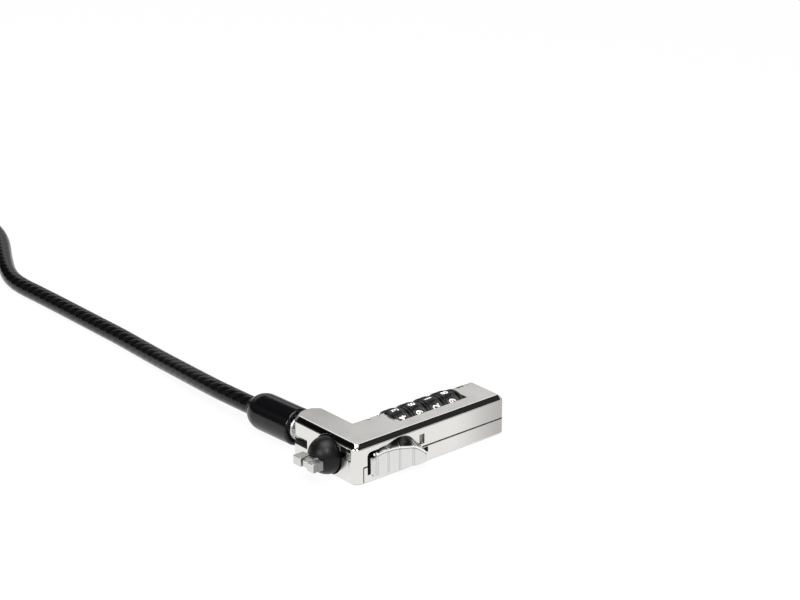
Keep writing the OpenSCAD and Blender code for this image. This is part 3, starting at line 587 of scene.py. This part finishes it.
def softened(node, name, width, material, body, segments=2):
    """A CAD solid with its facets merged and its edges rounded a little."""
    shape = bmesh.new()
    shape.from_mesh(nodes[node].data)
    bmesh.ops.remove_doubles(shape, verts=shape.verts, dist=SAME_POINT)
    bmesh.ops.dissolve_limit(
        shape,
        angle_limit=SAME_PLANE,
        verts=shape.verts,
        edges=shape.edges,
    )
    mesh = bpy.data.meshes.new(name)
    shape.to_mesh(mesh)
    shape.free()
    mesh.shade_smooth()
    mesh.set_sharp_from_angle(angle=REAL_EDGE)
    mesh.materials.clear()
    mesh.materials.append(material)
    obj = bpy.data.objects.new(name, mesh)
    bpy.context.scene.collection.objects.link(obj)
    edge = obj.modifiers.new("soft edges", "BEVEL")
    edge.width = width
    edge.segments = segments
    edge.limit_method = "ANGLE"
    edge.angle_limit = REAL_EDGE
    edge.use_clamp_overlap = False
    edge.miter_outer = "MITER_ARC"
    flats = obj.modifiers.new("even flats", "WEIGHTED_NORMAL")
    flats.keep_sharp = True
    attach(obj, body)
    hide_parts(node)
    return obj


# The seam's left end and height, and the lines of the top's front and left
# edges, in mm. Each line fades out between two half widths.
SEAM_X, SEAM_Z = -5.7, 4.06
FRONT_Y, LEFT_X = -8.6, -6.7
SEAM_FADE, EDGE_FADE = (0.19, 0.26), (0.15, 0.22)
# How strongly painted shade darkens the band along the seam.
SEAM_SHADE_AMOUNT = 0.85
# The dark colour that painted shade on the body goes towards.
PAINTED_SHADE_COLOUR = (0.02, 0.02, 0.02)


def satin_metal(name, colour, rough):
    """Plated zinc: a fine grain that catches light, and a polished chamfer.

    It has painted shade on the flat top over the arm and by the left end, and on
    upright faces, most towards the far end. Painted shade darkens a band along the
    seam, and a painted highlight runs along the top's front and left edges.
    """
    material, tree, shader = finish(name, Metallic=1.0)
    where = own_place(tree)
    x, y, z = split(tree, where)
    facing = own_normal(tree)[2]
    flat_top = facing.between(0.86, 0.97)
    chamfer = facing.between(0.3, 0.5) * (1 - flat_top)
    upright = 1 - facing.size().between(0.1, 0.3)
    grain = noise(tree, where, 6.0, 4.0, (1, 1, 0.25))
    cloud = noise(tree, where, 0.16, 2.0)
    plain = rough + (grain - 0.5) * 0.10 + (cloud - 0.5) * 0.10
    # Painted shade: darker on the flat top over the arm and by the left end, and on upright faces,
    # most towards the far end.
    painted_shade = (
        flat_top * (y.between(-6, 12) * 0.2 + (1 - x.between(-2, 14)) * 0.06)
        + upright * (x.between(20, 38) * 0.42 + 0.05)
    )
    # A painted highlight: the top's front and left edges go to white there, and are less rough.
    front_edge = 1 - (y - FRONT_Y).size().between(*EDGE_FADE)
    left_edge = 1 - (x - LEFT_X).size().between(*EDGE_FADE)
    painted_edge_highlight = flat_top * front_edge.most(left_edge)
    # Painted shade in a band along the seam, on upright faces.
    in_seam = (1 - (z - SEAM_Z).size().between(*SEAM_FADE)) * x.between(SEAM_X, SEAM_X + 0.1)
    seam_shade = upright * in_seam * SEAM_SHADE_AMOUNT
    clean = mix_colour(tree, cloud, colour, tuple(c * 0.95 for c in colour))
    shaded_colour = mix_colour(tree, painted_shade.most(seam_shade), clean, PAINTED_SHADE_COLOUR)
    paint(
        shader,
        tree,
        Base_Color=mix_colour(tree, painted_edge_highlight, shaded_colour, (1, 1, 1)),
        Roughness=plain * (1 - chamfer.most(painted_edge_highlight) * 0.7),
        Normal=bump(tree, grain, 0.12, 0.03),
    )
    return material


satin = satin_metal("satin plated zinc", (0.85, 0.835, 0.812), 0.24)
housing = softened("upper_housing", "housing", 0.07 * MM, satin, "lock_body")
cover = softened("bottom_cover", "base_cover", 0.04 * MM, satin, "lock_body")

# Painted shade inside the body: a near-black, mottled finish on every face that
# lies behind the outer skin.

CORNER = np.array([-8.0, -9.9])
LEG_L, LEG_W, BODY_H = 45.7, 11.8, 9.8
ARM_L, ARM_W, ARM_R = 40.0, 9.0, 4.95
PIN_X, PIN_Y = 4.6, 20.2
CHAMFER, CORNER_R = 1.05, 2.0
SKIN = 0.12


def behind_skin(point):
    """How deep, in mm, a point lies under the body's outer surface.

    The body is the union of a rounded rectangle and a band with a round end,
    both chamfered on top: depth = min(side, top, (side + top - chamfer)/sqrt 2).
    """
    x, y = point[0] - CORNER[0], point[1] - CORNER[1]

    def in_rectangle(width, length):
        inset = [width / 2 - abs(x - width / 2), length / 2 - abs(y - length / 2)]
        corner = CORNER_R - np.array(inset)
        round_part = np.linalg.norm(np.maximum(corner, 0))
        return CORNER_R - (round_part if round_part > 0 else corner.max())

    along = min(max(y, ARM_R), PIN_Y)
    in_band = ARM_R - math.hypot(x - PIN_X, y - along)
    side = max(in_rectangle(LEG_L, LEG_W), min(in_rectangle(ARM_W, ARM_L), in_band))
    top = BODY_H - point[2]
    return min(side, top, point[2], (side + top - CHAMFER) / math.sqrt(2))


inside, tree, shader = finish("painted shade inside", Metallic=0.4)
where = own_place(tree)
shade_mottle = noise(tree, where, 4.0, 4.0)
paint(
    shader,
    tree,
    Base_Color=mix_colour(tree, shade_mottle, (0.012, 0.012, 0.012), (0.045, 0.044, 0.042)),
    Roughness=shade_mottle * 0.3 + 0.45,
    Normal=bump(tree, shade_mottle, 0.3, 0.06),
)

# The notch beside the slider is plated, and its faces get painted shade: a darker, rougher copy of
# the satin plating.
NOTCH_LOW, NOTCH_HIGH = np.array([10.9, -10.0, 4.6]), np.array([12.9, -8.7, 7.6])
notch_shade = satin_metal("plated zinc in painted shade", (0.33, 0.32, 0.31), 0.4)
for obj in (housing, cover):
    obj.data.materials.append(inside)
    obj.data.materials.append(notch_shade)
    for face in obj.data.polygons:
        middle = np.array(face.center) / MM
        in_notch = all(NOTCH_LOW < middle) and all(middle < NOTCH_HIGH)
        if behind_skin(middle) > SKIN:
            face.material_index = 2 if in_notch else 1

# ---------------------------------------------------------------- works
# Turned steel and brass parts inside the body. Only a jaw's tip, the link's
# end and the screws show from outside.


def machined(name, colour, rough, tooled=0.15):
    """Bare turned or stamped metal with fine tool marks."""
    material, tree, shader = finish(name, Metallic=1.0, Base_Color=(*colour, 1))
    where = own_place(tree)
    marks = noise(tree, where, 5.0, 3.0, (0.2, 1, 1))
    paint(
        shader,
        tree,
        Roughness=(marks - 0.5) * 0.2 + rough,
        Normal=bump(tree, marks, tooled, 0.03),
    )
    return material


steel = machined("plain steel", (0.6, 0.6, 0.6), 0.33)
brass = machined("turned brass", (0.78, 0.57, 0.3), 0.3)
chrome = machined("bright plating", (0.62, 0.615, 0.61), 0.32, 0.005)

# The jaws are cast. Faces that point along Y get painted shade, tops and bottoms a little, and the
# edges a painted highlight.

cast, tree, shader = finish("fine cast steel", Metallic=1.0)
where = own_place(tree)
across, along, upward = own_normal(tree)
# Painted shade on faces that point along Y, and a little on tops and bottoms.
shaded_sides = (1 - across.size().between(0.3, 0.8)) * (1 - upward.size().between(0.3, 0.8) * 0.9)
flatness = sum(part * part * part * part for part in (across, along, upward))
# Painted highlight on the rounded edges, where the normal lies between the axes.
edges = (0.9 - flatness).between(0.0, 0.25)
speckle = noise(tree, where, 3.0, 4.0)
shine = (speckle * 0.2 + 0.58) * (1 - shaded_sides * (speckle * 0.5 + 0.35)) + edges * 0.3
paint(
    shader,
    tree,
    Base_Color=add(tree, "ShaderNodeCombineColor", None, {0: shine, 1: shine, 2: shine * 0.99}),
    Roughness=speckle * 0.2 + 0.2,
    Normal=bump(tree, speckle, 0.2, 0.04),
)
for name, node in nodes.items():
    if node.type != "MESH":
        continue
    kind = brass if name.startswith("code_sleeve") or name == "spindle_bush" else steel
    node.data.materials.clear()
    node.data.materials.append(kind)

softened("draw_link", "pull_link", 0.08 * MM, steel, "slider_unit")
softened("jaw_front", "front_hook", 0.12 * MM, cast, "front_jaw", 3)
softened("jaw_back", "back_hook", 0.12 * MM, cast, "back_jaw", 3)
softened("wedge_pin", "wedge", 0.05 * MM, steel, "wedge")
softened("swivel_neck", "neck", 0.08 * MM, chrome, "swivel")
softened("reset_screw", "setting_screw", 0.05 * MM, steel, "code_reset")

# ---------------------------------------------------------------- slider
# A cast thumb slider, plated bright. Its front is fluted between fine grooves,
# with a painted highlight on the bead along the crease and a painted dark reflection on its top
# facet.

SLIDER_X0, SLIDER_X1, SLIDER_Z = 4.9, 21.3, 1.2
HUMP_X = SLIDER_X0 + 5.4
TAIL_L = 2.4
SCALLOP, SWELL = 0.2, 0.3
LEAST_OUT, UNDER_ARCH = 0.12, 0.4
RIBS = [
    (SLIDER_X0, 0.62),
    (SLIDER_X0 + 1, 0.8),
    (SLIDER_X0 + 4, 1.1),
    (SLIDER_X0 + 7, 1.6),
    (SLIDER_X0 + 10.7, 2.05),
    (SLIDER_X1 - TAIL_L, 2.2),
]
ARCH = [
    (SLIDER_X0, 7.3),
    (HUMP_X - 1.8, 7.5),
    (HUMP_X - 0.8, 7.78),
    (HUMP_X + 0.2, 8.17),
    (HUMP_X + 1.2, 8.5),
    (HUMP_X + 2.1, 8.66),
    (HUMP_X + 3.2, 8.7),
    (HUMP_X + 4.7, 8.48),
    (HUMP_X + 5.7, 8.02),
    (HUMP_X + 6.9, 7),
    (HUMP_X + 8.2, 5.8),
    (HUMP_X + 9.1, 4.9),
    (HUMP_X + 9.9, 3.8),
    (HUMP_X + 10.5, 2.8),
    (SLIDER_X1, 2.2),
]
CREASE = [
    (SLIDER_X0, 6.9),
    (SLIDER_X0 + 1, 6.8),
    (HUMP_X, 6.84),
    (HUMP_X + 1.6, 6.8),
    (HUMP_X + 3.1, 6.4),
    (HUMP_X + 4.5, 6.08),
    (HUMP_X + 5.5, 5.9),
    (HUMP_X + 6.6, 5.3),
    (HUMP_X + 8.2, 4),
    (HUMP_X + 9.3, 3.1),
    (HUMP_X + 10.1, 2.5),
    (SLIDER_X1, 1.8),
]
rib_x, rib_out = np.array(RIBS).T
arch_x, arch_z = np.array(ARCH).T
crease_x, crease_z = np.array(CREASE).T


def stand_out(x):
    """How far the slider's front stands out at x, in mm.

    Between two ribs it is their straight line less SCALLOP * 4u(1 - u), and
    beyond the last flute it swells by SWELL * 4u(1 - u). A 45-degree slope
    ends it at the right, and it thins out where the arch comes down.
    """
    inner = np.minimum(x, SLIDER_X1 - TAIL_L)
    k = np.clip(np.searchsorted(rib_x, inner) - 1, 0, len(RIBS) - 2)
    u = (inner - rib_x[k]) / (rib_x[k + 1] - rib_x[k])
    line = rib_out[k] + (rib_out[k + 1] - rib_out[k]) * u
    full = line + np.where(k == len(RIBS) - 2, SWELL, -SCALLOP) * 4 * u * (1 - u)
    low = np.interp(x, arch_x, arch_z) - SLIDER_Z - UNDER_ARCH
    return np.maximum(np.minimum(np.minimum(full, SLIDER_X1 - x), low), LEAST_OUT)


# Two fine lines are cut beside each rib. The arch and the crease are smoothed
# along the slider with a bell curve, and the crease is lifted to the right by
# RISES of (height, start, span), in mm, up to the slider's end.
LINE_GAP, LINE_W, LINE_D = 0.19, 0.07, 0.06
SMOOTH_W = 0.45
RISES = [(0.35, 5.5, 3), (0.15, 13, 3)]
END_SPAN = 1.2
COARSE_STEPS, FINE_STEPS, FINE_HALF_W = 150, 25, 0.45
grooved = rib_x[1:5]
around = np.linspace(-FINE_HALF_W, FINE_HALF_W, FINE_STEPS)
fine = np.concatenate([r + around for r in grooved])
coarse = np.linspace(SLIDER_X0, SLIDER_X1, COARSE_STEPS)
slider_xs = np.unique(np.concatenate([coarse, fine]).round(4))
cut = sum(
    np.exp(-(((slider_xs - r - side * LINE_GAP) / LINE_W) ** 2))
    for r in grooved
    for side in (-1, 1)
)
out = stand_out(slider_xs) - LINE_D * cut
apart = (slider_xs[:, None] - slider_xs) / SMOOTH_W
near = np.exp(-(apart**2)) * np.gradient(slider_xs)
near /= near.sum(axis=1)[:, None]
top = near @ np.interp(slider_xs, arch_x, arch_z)
raised = sum(high * ease((slider_xs - start) / span) for high, start, span in RISES)
raised = raised * ease((SLIDER_X1 - slider_xs) / END_SPAN)
crease = near @ np.interp(slider_xs, crease_x, crease_z) + raised

# A cross-section goes up the front, over the bead and back along the facet.
# Each point of the bead is (back, above the crease, tone), in mm, and shrinks
# where the slider is thinner than FULL_OUT. Tones are painted light and shade on
# the plating: a painted highlight on the bead, painted shade in the dark line
# below it, and a painted dark reflection on the facet. The facet's dark ends
# FACET_END along, and leans by FACET_LEAN.
PLAIN, DEEP_SHADE, BEAD_HIGHLIGHT, ROLLED = 1.0, 0.05, 1.3, 0.95
FULL_OUT, FACET_END, FACET_LEAN = 0.7, 14.3, 2.2
BACK, LOWER_R = -0.08, 0.28
BEADING = [
    (0, -0.72, PLAIN),
    (0.1, -0.69, DEEP_SHADE),
    (0.1, -0.46, DEEP_SHADE),
    (-0.02, -0.43, BEAD_HIGHLIGHT),
    (-0.03, -0.2, BEAD_HIGHLIGHT),
    (-0.02, -0.02, BEAD_HIGHLIGHT),
    (0.04, 0.05, BEAD_HIGHLIGHT),
]
# Painted dark reflection along the top facet, as (share of the way back, tone).
FACET_DARK_REFLECTION = [(0.06, 0.25), (0.4, 0.15), (0.7, 0.1), (0.92, 0.085), (1.0, 0.1)]
small = np.clip(out / FULL_OUT, 0.1, 1)
soft = np.minimum(LOWER_R, out / 2)
section = []


def section_point(y, z, tone):
    """Adds one point to every cross-section of the slider."""
    section.append([np.broadcast_to(value, out.shape) for value in (y, z, tone)])


section_point(BACK, SLIDER_Z, PLAIN)
for a in np.radians([0, 30, 60, 90]):
    section_point(-out + soft * (1 - np.sin(a)), SLIDER_Z + soft * (1 - np.cos(a)), PLAIN)
for share in (0.35, 0.7, 0.92):
    section_point(-out, SLIDER_Z + (crease - SLIDER_Z) * share, PLAIN)
for back, above, tone in BEADING:
    section_point(-out + back * small, crease + above * small, tone)
begin_y, begin_z = -out + 0.12 * small, crease + 0.06 * small
for share, tone in FACET_DARK_REFLECTION:
    tone = np.maximum(tone, ease(slider_xs - FACET_END - FACET_LEAN * share))
    y, z = begin_y + (BACK - begin_y) * share, begin_z + (top - begin_z) * share
    section_point(y, z, tone)
ys, zs, tones = np.array(section).transpose(1, 2, 0)
profile = np.stack([np.broadcast_to(slider_xs[:, None], ys.shape), ys, zs], axis=2)

# The fine lines get painted shade, and the corner above the rolled edge is painted dark as shade.
CUT_SHADE, DARK_X, DARK_Z = 0.35, 5.6, 6.1
tones = tones * (1 - CUT_SHADE * np.clip(cut, 0, 1)[:, None] * (tones == PLAIN))
tones = np.where((slider_xs[:, None] < DARK_X) & (zs > DARK_Z), DEEP_SHADE, tones)

plated, tree, shader = finish("bright cast plating", Metallic=1.0)
where = own_place(tree)
# The tone attribute holds the plating's painted highlight and painted shade.
tone = add(tree, "ShaderNodeAttribute", {"attribute_name": "tone"}, out=2)
streaks = noise(tree, where, 3.0, 3.0, (2.5, 1, 0.15))
shine = (streaks * 0.1 + 0.68) * tone
warm = {0: shine, 1: shine * 0.995, 2: shine * 0.985}
paint(
    shader,
    tree,
    Base_Color=add(tree, "ShaderNodeCombineColor", None, warm),
    Roughness=streaks * 0.12 + 0.14,
    Normal=bump(tree, streaks, 0.15, 0.03),
)


def with_tone(obj, tone):
    """Stores the painted highlight and painted shade of the plating at each point of a mesh."""
    layer = obj.data.attributes.new("tone", "FLOAT", "POINT")
    values = np.broadcast_to(tone, len(obj.data.vertices))
    layer.data.foreach_set("value", values.astype(np.float32))


ORIGIN = np.array([*CORNER, 0])
columns = len(section)
thumb_slider = piece(
    "thumb_slider",
    (profile.reshape(-1, 3) + ORIGIN) * MM,
    grid_faces(len(slider_xs), columns)[:, ::-1],
    plated,
    "slider_unit",
    ("slider",),
    caps=end_caps(len(slider_xs), columns, flip=True),
)
with_tone(thumb_slider, tones.ravel())

# The slider's left edge is rolled round a thin rod, whose domed head shows.

CURL_AT = (4.9, 0)
CURL = [(0.6, 1.9), (0.68, 1.94), (0.7, 2.0), (0.7, 6.0), (0.62, 6.15), (0.3, 6.2)]
HEAD_AT, HEAD_Z, HEAD_R = (4.93, -0.68), 6.9, 0.32


def revolved(name, profile, centre, material, body, sides=40):
    """A profile of (radius, height) points, turned about an upright axis.

    Each of its points goes round as (radius * cos a, radius * sin a, height).
    """
    radius, high = np.array(profile).T
    a = 2 * np.pi * np.arange(sides) / sides
    x = centre[0] + radius[:, None] * np.cos(a)
    y = centre[1] + radius[:, None] * np.sin(a)
    z = np.broadcast_to(high[:, None], x.shape)
    points = np.stack([x, y, z], axis=2).reshape(-1, 3)
    return piece(
        name,
        (points + ORIGIN) * MM,
        grid_faces(len(radius), sides),
        material,
        body,
        caps=end_caps(len(radius), sides),
    )


curl = revolved("rolled_edge", CURL, CURL_AT, plated, "slider_unit")
height_of = np.array([v.co.z for v in curl.data.vertices]) / MM
# Above DARK_Z the rolled edge is painted dark as shade.
with_tone(curl, np.where(height_of > DARK_Z, DEEP_SHADE, ROLLED))
dome = [
    (HEAD_R * math.cos(a), HEAD_Z + HEAD_R * math.sin(a))
    for a in np.radians(range(-60, 90, 15))
]
rod_head = revolved("rod_head", dome, HEAD_AT, plated, "slider_unit", 24)
# The rod's head carries the bead's painted highlight.
with_tone(rod_head, BEAD_HIGHLIGHT)

# Behind the front, the slider's foot runs in the pocket of the housing.

FOOT = [
    ((4.3, -0.06, 2.0), (14.4, 1.1, 6.0)),
    ((7.1, 0.0, 6.5), (9.0, 2.2, 7.4)),
    ((6.7, -0.06, 5.5), (9.4, 1.1, 7.3)),
]


def boxes(spans):
    """The corners and outward faces of boxes between two corners each."""
    sides = [(0, 1, 3, 2), (4, 6, 7, 5), (0, 4, 5, 1), (2, 3, 7, 6), (0, 2, 6, 4), (1, 5, 7, 3)]
    points = [point for span in spans for point in itertools.product(*zip(*span))]
    faces = [[8 * k + corner for corner in side] for k in range(len(spans)) for side in sides]
    return np.array(points), faces


foot_points, foot_faces = boxes(FOOT)
foot_points = (foot_points + ORIGIN) * MM
# The foot takes the body's near-black painted shade inside the pocket.
slider_foot = piece("slider_foot", foot_points, foot_faces, inside, "slider_unit")
edge = slider_foot.modifiers.new("soft edges", "BEVEL")
edge.width = 0.08 * MM
edge.segments = 2

# ---------------------------------------------------------------- head
# The nose ball, through which the jaws reach into the slot. It is moulded in
# black, with a fine matte skin.

NEAR_BLACK = (0.003, 0.003, 0.0035, 1)
skin, tree, shader = finish(
    "black matte skin",
    Base_Color=NEAR_BLACK,
    Specular_IOR_Level=0.27,
)
where = own_place(tree)
pores = noise(tree, where, 5.0, 4.0)
paint(shader, tree, Roughness=pores * 0.12 + 0.32, Normal=bump(tree, pores, 0.2, 0.05))
softened("nose_ball", "ball", 0.08 * MM, skin, "head")

# ---------------------------------------------------------------- dials
# Black dials with ten number pads each. The numbers are white paint and are
# read with the laptop side up.

DIGITS = 10
DIAL_Y, DIAL_Z, DIAL_R = -1.1, 5.6, 5.1
# The colours of the painted shade in the notches and the painted sheen on the pads.
NOTCH_SHADE, PAD_SHEEN = (0.004, 0.004, 0.004), (0.034, 0.033, 0.033)
black, tree, shader = finish("black dial")
where = own_place(tree)
worn = noise(tree, where, 3.0, 4.0)
_, y, z = split(tree, where)
turned = y.math("ARCTAN2", DIAL_Y - y, z - DIAL_Z)
# Painted sheen on the ten pads and painted shade in the notches between them, by angle round the
# dial.
pad_sheen = (turned * DIGITS + math.pi / 2).sin().between(-0.5, 0.6)
paint(
    shader,
    tree,
    Base_Color=mix_colour(tree, pad_sheen * (worn * 0.5 + 0.6), NOTCH_SHADE, PAD_SHEEN),
    Roughness=worn * 0.2 + 0.28,
    Normal=bump(tree, worn, 0.12, 0.03),
)
white, tree, shader = finish("white number paint", Roughness=0.5)
where = own_place(tree)
mottle = noise(tree, where, 4.0, 3.0)
chalk = mix_colour(tree, mottle, (0.8, 0.8, 0.79), (0.95, 0.95, 0.94))
paint(shader, tree, Base_Color=chalk)

DIAL_X0, DIAL_PITCH, BAND_W = 9.5, 5.1, 2.9
ON_TOP = [3, 8, 1, 8]
TOP_TURN = math.radians(1)
DIGIT_H, BOLD, PAINT_T = 1.98, 0.022, 0.015
LONG_EDGE = 0.2


def digit_mesh(digit):
    """A digit as flat triangles, its height from -1/2 to 1/2."""
    curve = bpy.data.curves.new("digit", "FONT")
    curve.body = str(digit)
    curve.resolution_u = 4
    curve.offset = BOLD
    obj = bpy.data.objects.new("digit", curve)
    bpy.context.scene.collection.objects.link(obj)
    bpy.context.view_layer.update()
    mesh = bpy.data.meshes.new_from_object(obj)
    bpy.data.objects.remove(obj)
    flat = bmesh.new()
    flat.from_mesh(mesh)
    bmesh.ops.triangulate(flat, faces=flat.faces)
    long_edges = [e for e in flat.edges if e.calc_length() > LONG_EDGE]
    bmesh.ops.subdivide_edges(flat, edges=long_edges, cuts=2)
    bmesh.ops.triangulate(flat, faces=flat.faces)
    points = np.array([v.co[:2] for v in flat.verts])
    faces = np.array([[v.index for v in f.verts] for f in flat.faces])
    flat.free()
    low, high = points.min(axis=0), points.max(axis=0)
    return (points - (low + high) / 2) / (high - low)[1], faces


# A number is wrapped round its dial: its height runs along the dial's axis
# and its width round it, and the paint stands a little proud of the pad.
shapes = [digit_mesh(digit) for digit in range(DIGITS)]
reach = DIAL_R + PAINT_T
for k, on_top in enumerate(ON_TOP):
    body = f"dial_{k + 1}_turning"
    softened(f"dial_{k + 1}", f"ring_{k + 1}", 0.035 * MM, black, body)
    points, faces, count = [], [], 0
    for digit, (flat, corners) in enumerate(shapes):
        at = TOP_TURN + math.radians(360 / DIGITS * (digit - on_top))
        turned = at - flat[:, 0] * DIGIT_H / DIAL_R
        x = DIAL_X0 + k * DIAL_PITCH + BAND_W / 2 - flat[:, 1] * DIGIT_H
        y, z = DIAL_Y - reach * np.sin(turned), DIAL_Z + reach * np.cos(turned)
        points.append(np.stack([x, y, z], axis=1))
        faces.append(corners + count)
        count += len(flat)
    points, faces = np.vstack(points) * MM, np.vstack(faces)
    piece(f"numbers_{k + 1}", points, faces, white, body)

# ---------------------------------------------------------------- ferrule
# A gloss black moulding over the crimped end of the cable, with a ring in its
# mouth that the cable runs through.

gloss, tree, shader = finish(
    "gloss black moulding",
    Base_Color=NEAR_BLACK,
    Specular_IOR_Level=0.35,
)
where = own_place(tree)
ripple = noise(tree, where, 0.5, 2.0)
paint(shader, tree, Roughness=ripple * 0.1 + 0.12, Normal=bump(tree, ripple, 0.1, 0.2))
softened("ferrule", "barrel", 0.08 * MM, gloss, "ferrule_turning")
softened("ferrule_grommet", "end_ring", 0.08 * MM, gloss, "ferrule_turning")
